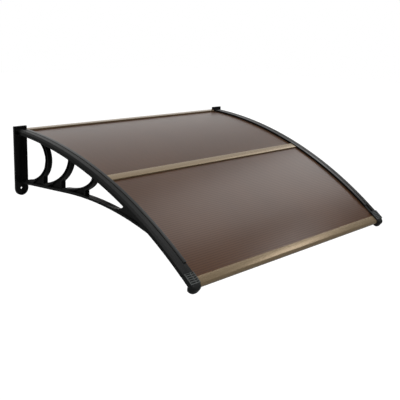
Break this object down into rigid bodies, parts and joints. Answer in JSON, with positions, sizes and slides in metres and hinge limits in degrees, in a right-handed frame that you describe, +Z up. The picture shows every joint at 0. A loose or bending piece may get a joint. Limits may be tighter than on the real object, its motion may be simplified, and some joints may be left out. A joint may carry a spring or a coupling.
{
  "type": "door canopy",
  "caption": "Arched door canopy: curved brown twin-wall sheets between black lattice wall brackets, with champagne aluminium cross bars.",
  "frame": {"origin": "on the wall plane, halfway between the brackets, level with the top of the rear sheet, on the flat back of the rear bar", "axes": "+Z up, +Y into the wall, +X to the right as seen from in front; the canopy reaches forward along -Y"},
  "size_m": [1, 0.8048, 0.3551],
  "materials": {
    "black_plastic": "satin",
    "brown_sheet": "tinted, satin gloss",
    "champagne_aluminium": "champagne anodised",
    "black_rubber": "matt",
    "screw_steel": "zinc plated"
  },
  "bodies": {
    "root": {"left_bracket": "black_plastic", "right_bracket": "black_plastic", "left_cover_strip": "black_plastic", "right_cover_strip": "black_plastic", "left_end_cap": "black_plastic", "right_end_cap": "black_plastic", "rear_sheet": "brown_sheet", "front_sheet": "brown_sheet", "rear_bar": "champagne_aluminium", "centre_bar": "champagne_aluminium", "front_bar": "champagne_aluminium", "wall_seal": "black_rubber", "left_rear_upper_gasket": "black_rubber", "left_rear_lower_gasket": "black_rubber", "left_front_upper_gasket": "black_rubber", "left_front_lower_gasket": "black_rubber", "right_rear_upper_gasket": "black_rubber", "right_rear_lower_gasket": "black_rubber", "right_front_upper_gasket": "black_rubber", "right_front_lower_gasket": "black_rubber", "left_cover_screw_1": "screw_steel", "left_cover_screw_2": "screw_steel", "left_cover_screw_3": "screw_steel", "left_cover_screw_4": "screw_steel", "left_cover_screw_5": "screw_steel", "left_cap_screw": "screw_steel", "right_cover_screw_1": "screw_steel", "right_cover_screw_2": "screw_steel", "right_cover_screw_3": "screw_steel", "right_cover_screw_4": "screw_steel", "right_cover_screw_5": "screw_steel", "right_cap_screw": "screw_steel"}
  },
  "joints": []
}
